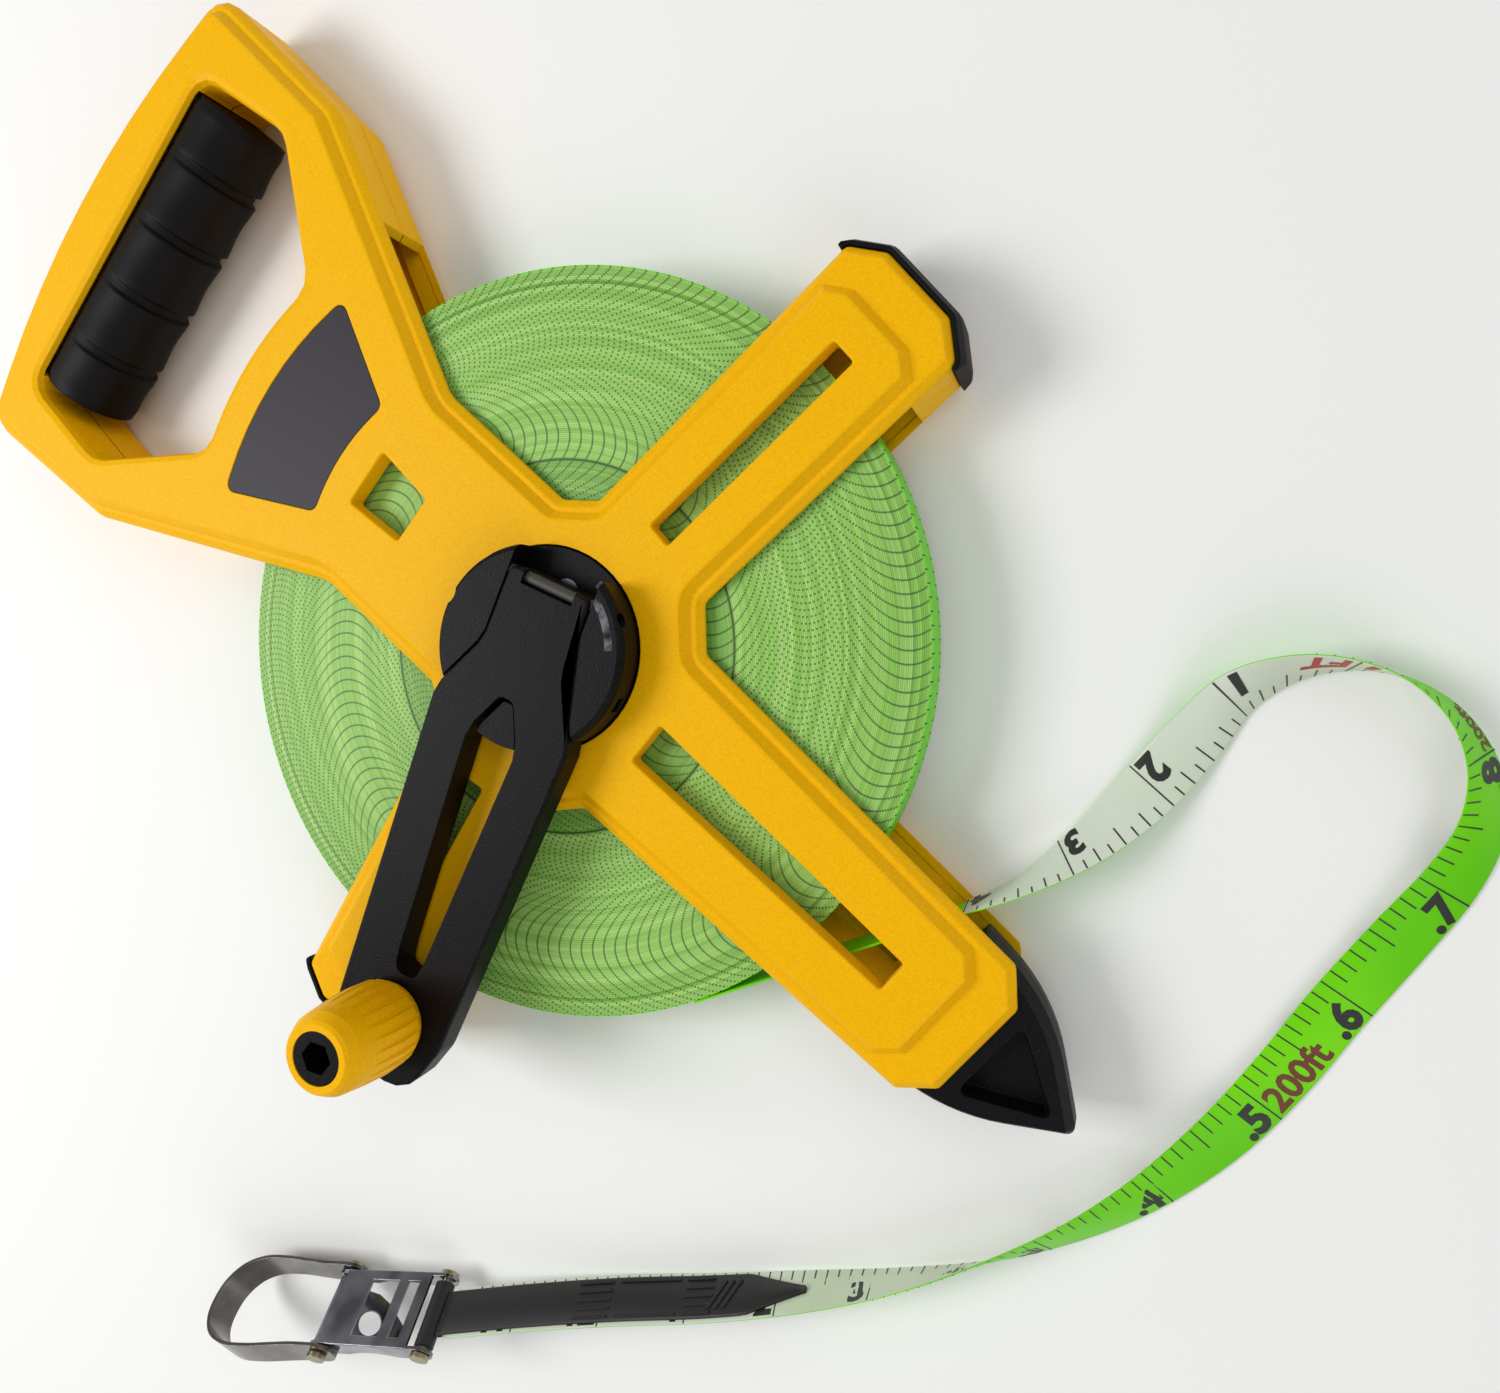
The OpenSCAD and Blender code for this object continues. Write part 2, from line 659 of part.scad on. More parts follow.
// Two waisted side plates joined by a bridge that has two windows
module hook_bracket() {
    color("#C9CBD0") in_hook() difference() {
        union() {
            for (s = [-1, 1]) translate([0, s * (hook_half - hook_plate / 2), 0]) rotate([90, 0, 0])
                translate([0, 0, -hook_plate / 2]) linear_extrude(hook_plate) difference() {
                    union() {
                        translate([0, -eye_r + 0.4]) square([pin_gap, eye_r + 2.9]);
                        circle(r = eye_r);
                        translate([pin_gap, 0]) circle(r = eye_r);
                    }
                    translate([pin_gap / 2, -eye_r - 17.8]) circle(r = 20);
                }
            translate([3.2, -hook_half + 0.1, 2.6]) cube([pin_gap - 4.4, hook_w - 0.2, hook_plate]);
        }
        for (w = [[6.5, 4], [13.5, 9.5]]) translate([w[0], -hook_half + 2.6, 2]) cube([w[1], hook_w - 5.2, 3]);
        for (x = [0, pin_gap]) translate([x, 0, 0]) pin_bore(pin_r);
    }
}

module tape_pin() { color("#9C948A") in_hook() cross_pin(hook_half + 0.1, 2.6); }
module bail_pin() { color("#9C948A") in_hook() translate([pin_gap, 0, 0]) cross_pin(bail_half + 0.3, 2.6); }

bail_outline = [
    [-bail_h / 2, bail_half, 0.4], [9, bail_half, 20], [24, bail_half + 1.6, 12], [42, bail_half + 1, 12],
    [42, -bail_half - 1, 12], [24, -bail_half - 1.6, 12], [9, -bail_half, 20], [-bail_h / 2, -bail_half, 0.4]
];

// A band bent into a loop, whose two rounded ends turn on the bail pin
module hook_bail() {
    color("#8E8B88") in_hook() translate([pin_gap, 0, 0]) difference() {
        intersection() {
            prism(bail_outline, 0, -bail_h / 2, bail_h / 2);
            union() {
                rotate([90, 0, 0]) translate([0, 0, -15]) cylinder(r = bail_h / 2, h = 30);
                translate([0, -15, -bail_h / 2]) cube([50, 30, bail_h]);
            }
        }
        prism(bail_outline, 1, -bail_h / 2 - 1, bail_h / 2 + 1);
        translate([-10, -bail_half + 1.05, -10]) cube([12, 2 * bail_half - 2.1, 20]);
        pin_bore(pin_r + 0.05);
    }
}

// A pointed plate with a round hole, hung on the bail pin between the side plates
module hook_claw() {
    knuckle = hook_half - hook_plate - 0.5;
    tip = 23;
    hang = 45;
    color("#8E8B88") in_hook() translate([pin_gap, 0, 0]) difference() {
        union() {
            rotate([90, 0, 0]) translate([0, 0, -knuckle]) cylinder(r = 2.5, h = 2 * knuckle);
            rotate([0, hang, 180]) translate([0, 0, -1.6]) linear_extrude(1) difference() {
                polygon([[0, -7.6], [10, -7.8], [14, -6.4], [tip, 0], [14, 6.4], [10, 7.8], [0, 7.6]]);
                translate([10.5, 0]) circle(r = 3.2);
            }
        }
        pin_bore(pin_r + 0.05);
    }
}

front_frame();
rear_frame();
handle_grip();
right_bumper();
left_bumper();
ground_spike();
front_label();
rear_label();
frame_screws();
axle();
axle_cap();
thrust_washers();
retaining_ring();
roller_pins();
inner_roller();
outer_roller();
spool_drum();
front_bush();
rear_bush();
tape_pack();
hub_disc();
hub_screws();
hinge_pin();
crank_arm();
knob_spindle();
knob_screw();
crank_knob();
tape_lead();
tape_run();
tape_sleeve();
hook_bracket();
tape_pin();
bail_pin();
hook_bail();
hook_claw();
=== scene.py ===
"""A surveyor's tape reel: open frame, hand grip, fold-over crank, and a free flat tape that ends in a hook.

Metres throughout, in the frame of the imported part: +Y runs to the grip, +Z out of the crank side.
"""

import math

import bmesh
import bpy
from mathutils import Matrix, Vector


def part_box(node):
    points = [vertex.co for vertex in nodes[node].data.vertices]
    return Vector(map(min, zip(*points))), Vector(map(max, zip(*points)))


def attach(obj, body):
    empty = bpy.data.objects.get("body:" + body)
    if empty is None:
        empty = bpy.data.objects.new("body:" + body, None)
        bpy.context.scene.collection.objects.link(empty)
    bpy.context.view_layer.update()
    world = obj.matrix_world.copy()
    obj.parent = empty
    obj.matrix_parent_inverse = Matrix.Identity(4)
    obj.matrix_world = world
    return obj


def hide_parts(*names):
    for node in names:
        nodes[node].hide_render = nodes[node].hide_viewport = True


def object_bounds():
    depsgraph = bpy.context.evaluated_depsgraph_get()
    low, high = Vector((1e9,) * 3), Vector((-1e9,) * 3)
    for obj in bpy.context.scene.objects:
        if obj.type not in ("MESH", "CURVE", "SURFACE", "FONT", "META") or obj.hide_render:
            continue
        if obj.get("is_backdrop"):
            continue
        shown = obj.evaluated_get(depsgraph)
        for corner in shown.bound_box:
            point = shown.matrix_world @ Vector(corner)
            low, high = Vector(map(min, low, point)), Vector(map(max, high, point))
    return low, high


MM = 0.001

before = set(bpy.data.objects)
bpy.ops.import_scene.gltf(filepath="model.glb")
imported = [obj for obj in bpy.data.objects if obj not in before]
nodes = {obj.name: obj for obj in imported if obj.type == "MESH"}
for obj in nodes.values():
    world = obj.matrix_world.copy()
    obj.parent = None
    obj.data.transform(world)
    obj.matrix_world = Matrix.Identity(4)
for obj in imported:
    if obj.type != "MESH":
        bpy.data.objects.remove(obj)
cad_low, cad_high = (list(corner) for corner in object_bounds())


# ---- Tools: colour, nodes, meshes ----


def srgb(code):
    """A colour written #RRGGBB, as the linear RGBA that a socket takes."""
    parts = [int(code[i : i + 2], 16) / 255 for i in (1, 3, 5)]
    return [p / 12.92 if p <= 0.04045 else ((p + 0.055) / 1.055) ** 2.4 for p in parts] + [1.0]


def add_node(tree, kind, inputs=(), **settings):
    """Adds a shader node with its settings. Its inputs, in order or by name or place, are set or linked."""
    made = tree.nodes.new("ShaderNode" + kind)
    for name, value in settings.items():
        setattr(made, name, value)
    for socket, value in inputs.items() if isinstance(inputs, dict) else enumerate(inputs):
        if isinstance(value, bpy.types.Node):
            value = next(out for out in value.outputs if out.enabled)
        if isinstance(value, bpy.types.NodeSocket):
            tree.links.new(value, made.inputs[socket])
        else:
            made.inputs[socket].default_value = value
    return made


def start_material(name, colour, roughness, metallic=0.0, **sockets):
    """A Principled surface with one colour. Returns the material, its tree and its shader."""
    made = bpy.data.materials.new(name)
    made.use_nodes = True
    tree = made.node_tree
    shader = tree.nodes["Principled BSDF"]
    shader.inputs["Base Color"].default_value = srgb(colour)
    shader.inputs["Roughness"].default_value = roughness
    shader.inputs["Metallic"].default_value = metallic
    for socket, value in sockets.items():
        shader.inputs[socket.replace("_", " ")].default_value = value
    made.diffuse_color = srgb(colour)
    return made, tree, shader


def patchwork(tree, size, detail, low, high, dark, light):
    """Patches about size across, from dark to light as their noise goes from low to high. Returns both."""
    spot = add_node(tree, "TexCoord").outputs["Object"]
    noise = add_node(tree, "TexNoise", {"Vector": spot, "Scale": 1 / size, "Detail": detail})
    share = add_node(tree, "MapRange", {"Value": noise, "From Min": low, "From Max": high})
    return add_node(tree, "Mix", {0: share, 6: srgb(dark), 7: srgb(light)}, data_type="RGBA"), noise


def round_the_axle(tree):
    """How far a surface point is from the reel's axle, and its turn about it."""
    spot = add_node(tree, "TexCoord").outputs["Object"]
    place = add_node(tree, "SeparateXYZ", [spot])
    x, y = place.outputs["X"], place.outputs["Y"]
    x_squared = add_node(tree, "Math", [x, x], operation="MULTIPLY")
    y_squared = add_node(tree, "Math", [y, y], operation="MULTIPLY")
    total = add_node(tree, "Math", [x_squared, y_squared], operation="ADD")
    radius = add_node(tree, "Math", [total], operation="SQRT")
    return radius, add_node(tree, "Math", [y, x], operation="ARCTAN2")


def paint(tree, shader, colour):
    """Gives the shader the colour that a Mix node makes."""
    tree.links.new(colour.outputs[2], shader.inputs["Base Color"])


def round_edges(tree, shader, radius, relief=None, depth=0.0):
    """Rounds sharp edges by radius, with an optional relief of that depth on top."""
    normal = add_node(tree, "Bevel", {"Radius": radius}, samples=6)
    if relief is not None:
        relief_inputs = {"Distance": depth, "Height": relief, "Normal": normal, "Strength": 1.0}
        normal = add_node(tree, "Bump", relief_inputs)
    tree.links.new(normal.outputs["Normal"], shader.inputs["Normal"])


def new_piece(name, points, faces, material, smooth=True):
    mesh = bpy.data.meshes.new(name)
    mesh.from_pydata([tuple(p) for p in points], [], faces)
    mesh.materials.append(material)
    mesh.polygons.foreach_set("use_smooth", [smooth] * len(mesh.polygons))
    mesh.update()
    if smooth:
        mesh.set_sharp_from_angle(angle=math.radians(40))
    made = bpy.data.objects.new(name, mesh)
    bpy.context.scene.collection.objects.link(made)
    return made


# ---- Camera ----

camera_data = bpy.data.cameras.new("camera")
camera_data.lens = 24.54
camera_data.sensor_width = 36
camera_data.clip_start = 0.01
camera = bpy.data.objects.new("camera", camera_data)
camera.location = (0.0834, -0.0944, 0.2499)
camera.rotation_euler = [math.radians(a) for a in (-3.22, 18.05, -49.58)]
bpy.context.scene.collection.objects.link(camera)
bpy.context.scene.camera = camera


# ---- Free tape: a flat cord from the exit to the hook, lying on the floor ----

TAPE_W = 13 * MM
TAPE_T = 0.5 * MM
EXIT = (0.020, -0.1155, 0.013)
# x, y, z of the tape's middle, and how far it is rolled about its own line, in degrees
ROUTE = [
    (0.02, -0.1155, 0.013, 90), (0.032, -0.121, 0.012, 80), (0.046, -0.125, 0.008, 55),
    (0.059, -0.127, 0.0042, 30), (0.071, -0.1275, 0.0026, 8), (0.083, -0.127, 0.0026, -12),
    (0.095, -0.1265, 0.0044, -35), (0.106, -0.131, 0.0062, -60), (0.114, -0.139, 0.0069, -80),
    (0.1185, -0.149, 0.0069, -98), (0.1185, -0.161, 0.0063, -116), (0.1135, -0.172, 0.0052, -133),
    (0.1045, -0.18, 0.0039, -148), (0.0925, -0.184, 0.0027, -160), (0.076, -0.186, 0.0017, -169),
    (0.057, -0.188, 0.0012, -173), (0.038, -0.1905, 0.0014, -172), (0.018, -0.1915, 0.0022, -165),
    (-0.003, -0.1895, 0.0038, -150), (-0.023, -0.1845, 0.0052, -134), (-0.043, -0.1765, 0.0063, -118),
    (-0.063, -0.166, 0.007, -96), (-0.084, -0.153, 0.007, -76), (-0.106, -0.138, 0.007, -63),
    (-0.128, -0.1215, 0.0074, -57), (-0.15, -0.1045, 0.01, -55), (-0.171, -0.088, 0.0142, -55),
]
SLEEVE_START = 22


def route_row(i, t):
    """A point of the smooth curve between rows i and i + 1 of the route: x, y, z and roll."""
    last = len(ROUTE) - 1
    a, b, c, d = (ROUTE[max(0, min(last, k))] for k in (i - 1, i, i + 1, i + 2))
    return [
        0.5 * (2 * q + (r - p) * t + (2 * p - 5 * q + 4 * r - s) * t * t + (3 * q - p - 3 * r + s) * t**3)
        for p, q, r, s in zip(a, b, c, d)
    ]


STEPS = 12
tape_rows = [route_row(i, k / STEPS) for i in range(len(ROUTE) - 1) for k in range(STEPS)] + [list(ROUTE[-1])]
tape_line = [Vector(r[:3]) for r in tape_rows]
tape_run_length = [0.0]
for before, after in zip(tape_line, tape_line[1:]):
    tape_run_length.append(tape_run_length[-1] + (after - before).length)


def row_frame(i):
    """Middle, across and outward directions of the tape at row i."""
    ahead = tape_line[min(i + 1, len(tape_line) - 1)] - tape_line[max(i - 1, 0)]
    flat = Vector((ahead.x, ahead.y, 0)).normalized()
    left, up = Vector((-flat.y, flat.x, 0)), Vector((0, 0, 1))
    roll = math.radians(tape_rows[i][3])
    across = math.cos(roll) * left - math.sin(roll) * up
    return tape_line[i], across, math.cos(roll) * up + math.sin(roll) * left


row_frames = [row_frame(i) for i in range(len(tape_line))]


def on_tape(s, w, lift):
    """The point s along the tape, w across it and lift out of its white face."""
    s = max(0.0, min(s, tape_run_length[-1]))
    i = next((k for k in range(1, len(tape_run_length)) if tape_run_length[k] >= s), len(tape_run_length) - 1)
    t = (s - tape_run_length[i - 1]) / (tape_run_length[i] - tape_run_length[i - 1])
    (pa, aa, oa), (pb, ab, ob) = row_frames[i - 1], row_frames[i]
    return pa.lerp(pb, t) + w * aa.lerp(ab, t).normalized() + lift * oa.lerp(ob, t).normalized()


# Glass fibre in a PVC coat, white on one face: smooth, slightly glossy, a little green shows through
white_coat, tree, shader = start_material("pvc_coat_white", "#D0DCC4", 0.38, Specular_IOR_Level=0.3)
cast, noise = patchwork(tree, 45 * MM, 1.0, 0.35, 0.65, "#C6D6B6", "#DFE7D6")
paint(tree, shader, cast)

# The other face of the same tape, in fluorescent green; it is made to look brighter than its surroundings by a
# painted glow
green_coat, tree, shader = start_material("pvc_coat_green", "#70DA00", 0.38, Specular_IOR_Level=0.2)
cast, noise = patchwork(tree, 40 * MM, 1.0, 0.3, 0.7, "#64D000", "#80E600")
paint(tree, shader, cast)
# Painted glow: a faint emission, though the tape is no lamp
shader.inputs["Emission Color"].default_value = srgb("#70DA00")
shader.inputs["Emission Strength"].default_value = 0.04

black_ink, tree, shader = start_material("printing_ink_black", "#22261F", 0.45)
red_ink, tree, shader = start_material("printing_ink_red", "#B01310", 0.45)
brown_ink, tree, shader = start_material("printing_ink_brick", "#6F3411", 0.45)


def ribbon(name, first, last, half_w, lift_low, lift_high, materials):
    """A closed flat strip from row first to row last, half_w(i) to each side. Its faces can differ."""
    profile = [(1, 0.5), (0.94, 1), (-0.94, 1), (-1, 0.5), (-1, -0.5), (-0.94, -1), (0.94, -1), (1, -0.5)]
    middle, half_t = (lift_low + lift_high) / 2, (lift_high - lift_low) / 2
    points, faces = [], []
    for i in range(first, last + 1):
        p, across, out = row_frames[i]
        for a, b in profile:
            points.append(p + a * half_w(i) * across + (middle + b * half_t) * out)
    for r in range(last - first):
        for k in range(8):
            a, b = r * 8 + k, r * 8 + (k + 1) % 8
            faces.append((a, a + 8, b + 8, b))
    faces.append(tuple(reversed(range(8))))
    faces.append(tuple(range(len(points) - 8, len(points))))
    made = new_piece(name, points, faces, materials[0], smooth=False)
    for extra in materials[1:]:
        made.data.materials.append(extra)
    if len(materials) > 1:
        for n, face in enumerate(made.data.polygons):
            face.material_index = 0 if n % 8 in (0, 1, 2) and n < (last - first) * 8 else 1
    for face in made.data.polygons:
        face.use_smooth = face.index % 8 in (1, 5)
    return made


# The tape stops this far before the tape pin, and the sleeve's eye carries on
TAPE_SHORT = 3.6 * MM
tape_end = max(i for i in range(len(tape_line)) if tape_run_length[-1] - tape_run_length[i] > TAPE_SHORT)
coats = [white_coat, green_coat]
tape = ribbon("free_tape", 0, tape_end, lambda i: TAPE_W / 2, -TAPE_T / 2, TAPE_T / 2, coats)
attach(tape, "frame")
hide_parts("tape_run")

# -- printed scale: inches on the white face, tenths of a foot on the green face --

PRINT_LIFT = TAPE_T / 2 + 0.04 * MM
INK_T = 0.03 * MM


class Printing:
    """Collects thin ink shapes drawn in the tape's own (s, w) and lays them on one face."""

    def __init__(self, side):
        self.side, self.points, self.faces = side, [], []

    def place(self, s, w):
        """A point of the face that is printed on."""
        return on_tape(s, w, self.side * PRINT_LIFT)

    def patch(self, s0, s1, w0, w1):
        """A filled rectangle, in steps of about a millimetre along the tape."""
        pieces = max(1, round(abs(s1 - s0) / (1 * MM)))
        for k in range(pieces):
            a, b = s0 + (s1 - s0) * k / pieces, s0 + (s1 - s0) * (k + 1) / pieces
            n = len(self.points)
            self.points += [self.place(a, w0), self.place(b, w0), self.place(b, w1), self.place(a, w1)]
            self.faces.append((n, n + 1, n + 2, n + 3))

    def words(self, text, size, s, w, flip, anchor="RIGHT", bold=0.03):
        """Text whose baseline is at w, reading towards the exit. flip is +1 where its top is at larger w."""
        curve = bpy.data.curves.new("lettering", "FONT")
        curve.body, curve.size, curve.offset, curve.align_x = text, size, bold * size, anchor
        curve.resolution_u = 3
        holder = bpy.data.objects.new("lettering", curve)
        bpy.context.scene.collection.objects.link(holder)
        bpy.context.view_layer.update()
        flat = bmesh.new()
        flat.from_mesh(holder.evaluated_get(bpy.context.evaluated_depsgraph_get()).to_mesh())
        bpy.data.objects.remove(holder)
        bpy.data.curves.remove(curve)
        xs = [v.co.x for v in flat.verts]
        cut = min(xs)
        while cut < max(xs):
            cut += 1 * MM
            everything = flat.verts[:] + flat.edges[:] + flat.faces[:]
            bmesh.ops.bisect_plane(flat, geom=everything, plane_co=(cut, 0, 0), plane_no=(1, 0, 0))
        start = len(self.points)
        flat.verts.ensure_lookup_table()
        flat.verts.index_update()
        for v in flat.verts:
            self.points.append(self.place(s - v.co.x, w + flip * v.co.y))
        for f in flat.faces:
            self.faces.append(tuple(start + v.index for v in f.verts))
        flat.free()

    def finish(self, name, ink):
        """Makes the piece that holds all the shapes so far."""
        made = new_piece(name, self.points, self.faces, ink, smooth=False)
        thick = made.modifiers.new("ink", "SOLIDIFY")
        thick.thickness, thick.offset = INK_T, 0
        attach(made, "frame")
        return made


INCH = 25.4 * MM
# A tenth of a foot
TENTH = 30.48 * MM
LINE_T = 0.34 * MM
EDGE = TAPE_W / 2 - 0.1 * MM
FOOT_MARK_S = 102 * MM
TENTH_8_S = 134 * MM
WHITE_SHOWS = (0.3 * MM, 445 * MM)
GREEN_SHOWS = (92 * MM, 330 * MM)

INCH_TICKS = [(8, 2 * EDGE), (4, 5.0 * MM), (2, 3.9 * MM), (1, 2.7 * MM)]
TENTH_TICKS = [(10, 2 * EDGE), (5, 6.4 * MM), (1, 4.2 * MM)]

inch_print, foot_print = Printing(1), Printing(1)
first_eighth = math.ceil((WHITE_SHOWS[0] - FOOT_MARK_S) / (INCH / 8))
last_eighth = math.floor((WHITE_SHOWS[1] - FOOT_MARK_S) / (INCH / 8))
for eighth in range(first_eighth, last_eighth + 1):
    s = FOOT_MARK_S + eighth * INCH / 8
    # Whole inches cross the tape; halves, quarters and eighths are ever shorter
    reach = next(tick for every, tick in INCH_TICKS if eighth % every == 0)
    inch_print.patch(s - LINE_T / 2, s + LINE_T / 2, -EDGE, -EDGE + reach)
    if eighth % 8 == 0:
        inches = 12 - eighth // 8
        if inches == 12:
            foot_print.words("1", 9.0 * MM, s + 0.8 * MM, EDGE - 1.0 * MM, -1, bold=0.04)
            foot_print.words("FT", 8.2 * MM, s - 1.0 * MM, EDGE - 1.2 * MM, -1, anchor="LEFT", bold=0.04)
        else:
            numeral = str((inches - 1) % 12 + 1)
            inch_print.words(numeral, 9.4 * MM, s + 0.9 * MM, EDGE - 0.9 * MM, -1, bold=0.045)
inch_print.finish("inch_scale", black_ink)
foot_print.finish("foot_mark", red_ink)

tenth_print, length_print = Printing(-1), Printing(-1)
first_hundredth = math.ceil((GREEN_SHOWS[0] - TENTH_8_S) / (TENTH / 10))
last_hundredth = math.floor((GREEN_SHOWS[1] - TENTH_8_S) / (TENTH / 10))
for hundredth in range(first_hundredth, last_hundredth + 1):
    s = TENTH_8_S + hundredth * TENTH / 10
    reach = next(tick for every, tick in TENTH_TICKS if hundredth % every == 0)
    tenth_print.patch(s - LINE_T / 2, s + LINE_T / 2, EDGE - reach, EDGE)
    if hundredth % 10 == 0:
        tenth_print.words(f".{8 - hundredth // 10}", 9.6 * MM, s + 1.0 * MM, -EDGE + 0.9 * MM, 1, bold=0.045)
length_print.words("200ft", 8.4 * MM, TENTH_8_S + 3 * TENTH - 1.0 * MM, -EDGE + 1.0 * MM, 1, anchor="LEFT")
length_print.words("200ft", 5.0 * MM, TENTH_8_S - 0.5 * MM, -EDGE + 1.0 * MM, 1, anchor="LEFT")
tenth_print.finish("tenth_scale", black_ink)
length_print.finish("length_mark", brown_ink)


# ---- Sleeve: ribbed vinyl that covers the tape's end and goes round the hook's pin ----

# Soft PVC, moulded: nearly black, dull sheen, edges rounded by the mould
vinyl, tree, shader = start_material("pvc_sleeve_black", "#1B191B", 0.48)
spot = add_node(tree, "TexCoord").outputs["Object"]
skin = add_node(tree, "TexNoise", {"Vector": spot, "Scale": 1 / (0.5 * MM)})
round_edges(tree, shader, 0.25 * MM, skin, 0.03 * MM)

sleeve_first = SLEEVE_START * STEPS
SLEEVE_SHORT = 2 * MM
sleeve_last = max(i for i in range(len(tape_line)) if tape_run_length[-1] - tape_run_length[i] > SLEEVE_SHORT)
sleeve_s0 = tape_run_length[sleeve_first]


def sleeve_half(i):
    """Half width: a point that opens to the tape's full width in 20 mm."""
    along = tape_run_length[i] - sleeve_s0
    return min(TAPE_W / 2 - 0.9 * MM, 0.8 * MM + along * 0.30)


SLEEVE_T, UNDER_T = 0.9 * MM, 0.7 * MM
face = TAPE_T / 2
sleeve = ribbon("end_sleeve", sleeve_first, sleeve_last, sleeve_half, face, face + SLEEVE_T, [vinyl])
under = ribbon("end_sleeve_under", sleeve_first, sleeve_last, sleeve_half, -face - UNDER_T, -face, [vinyl])


def sleeve_rib(s0, s1, w0, w1, high, slant=0.0):
    """One raised rib on the sleeve, from (s0, w0) to (s1, w1)."""
    base, top = TAPE_T / 2 + 0.8 * MM, TAPE_T / 2 + 0.9 * MM + high
    points = []
    for lift in (base, top):
        for s, w in ((s0, w0), (s1, w0), (s1 + slant, w1), (s0 + slant, w1)):
            points.append(on_tape(s, w, lift))
    return points, [(3, 2, 1, 0), (4, 5, 6, 7), (0, 1, 5, 4), (1, 2, 6, 5), (2, 3, 7, 6), (3, 0, 4, 7)]


# Two blocks of lengthwise ribs, a frame between them, and three slanted ribs near the point
rib_points, rib_faces = [], []
rib_edge = TAPE_W / 2 - 2.0 * MM
ribs = []
for s0, s1 in ((26, 34), (56, 66)):
    for k in range(5):
        w = -rib_edge + 2 * rib_edge * k / 4
        ribs.append((sleeve_s0 + s0 * MM, sleeve_s0 + s1 * MM, w - 0.3 * MM, w + 0.3 * MM, 0.35 * MM, 0.0))
for k in range(3):
    s = sleeve_s0 + (18 + 2.2 * k) * MM
    ribs.append((s, s + 1.1 * MM, -rib_edge * 0.8, rib_edge * 0.8, 0.35 * MM, 4 * MM))
for edge in (-rib_edge, rib_edge):
    ribs.append((sleeve_s0 + 36 * MM, sleeve_s0 + 54 * MM, edge - 0.25 * MM, edge + 0.25 * MM, 0.3 * MM, 0.0))
for rib in ribs:
    points, faces = sleeve_rib(*rib)
    rib_faces += [tuple(len(rib_points) + k for k in f) for f in faces]
    rib_points += points
sleeve_ribs = new_piece("end_sleeve_ribs", rib_points, rib_faces, vinyl, smooth=False)

# The eye at the sleeve's end is a short tube round the tape pin
EYE_IN, EYE_OUT, EYE_HALF, EYE_AROUND = 1.6 * MM, 2.7 * MM, 8.2 * MM, 48
eye_middle, eye_across, eye_out = row_frames[-1]
eye_ahead = eye_across.cross(eye_out)
eye_points, eye_faces = [], []
for k in range(EYE_AROUND):
    turn = 2 * math.pi * k / EYE_AROUND
    spoke = math.cos(turn) * eye_ahead + math.sin(turn) * eye_out
    for r, w in ((EYE_OUT, -EYE_HALF), (EYE_OUT, EYE_HALF), (EYE_IN, EYE_HALF), (EYE_IN, -EYE_HALF)):
        eye_points.append(eye_middle + r * spoke + w * eye_across)
for k in range(EYE_AROUND):
    a, b = 4 * k, 4 * ((k + 1) % EYE_AROUND)
    for c in range(4):
        d = (c + 1) % 4
        eye_faces.append((a + c, b + c, b + d, a + d))
eye = new_piece("end_sleeve_eye", eye_points, eye_faces, vinyl)
sleeve_pieces = [sleeve, under, sleeve_ribs, eye]
for part in sleeve_pieces:
    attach(part, "frame")
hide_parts("tape_sleeve")


# ---- Materials of the reel ----

FRAME_JOINT_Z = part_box("front_frame")[0].z

# ABS, injection moulded in a finely etched tool: strong yellow, satin, with a fine sparkle
def moulded_abs(name, edge):
    made, tree, shader = start_material(name, "#FFBC00", 0.46, Specular_IOR_Level=0.1)
    tone, speck = patchwork(tree, 0.55 * MM, 1.0, 0.3, 0.7, "#F9B500", "#FFC400")
    # The hairline where the front and rear halves of the frame meet
    spot = add_node(tree, "TexCoord").outputs["Object"]
    height = add_node(tree, "SeparateXYZ", [spot]).outputs["Z"]
    joint = add_node(tree, "Math", [height, FRAME_JOINT_Z, 0.2 * MM], operation="COMPARE")
    paint(tree, shader, add_node(tree, "Mix", {0: joint, 6: tone, 7: srgb("#8A5A00")}, data_type="RGBA"))
    round_edges(tree, shader, edge, speck, 0.03 * MM)
    return made


abs_yellow = moulded_abs("abs_moulded_yellow", 0.45 * MM)
abs_knob = moulded_abs("abs_moulded_yellow_fine_edged", 0.12 * MM)

# Thermoplastic rubber, overmoulded: black, dull, faintly grained
rubber, tree, shader = start_material("tpr_overmould_black", "#070506", 0.55, Specular_IOR_Level=0.16)
spot = add_node(tree, "TexCoord").outputs["Object"]
skin = add_node(tree, "TexNoise", {"Vector": spot, "Scale": 1 / (0.6 * MM)})
round_edges(tree, shader, 0.9 * MM, skin, 0.05 * MM)


# Glass-filled nylon, moulded: black with a coarse spark-eroded grain that glints
def moulded_nylon(name, edge):
    made, tree, shader = start_material(name, "#08060A", 0.45, Specular_IOR_Level=0.14)
    tone, pits = patchwork(tree, 0.45 * MM, 3.0, 0.6, 0.72, "#08060A", "#28252A")
    round_edges(tree, shader, edge, pits, 0.10 * MM)
    return made, tree, shader, tone


nylon, tree, shader, tone = moulded_nylon("nylon_glass_filled_black", 0.35 * MM)
paint(tree, shader, tone)
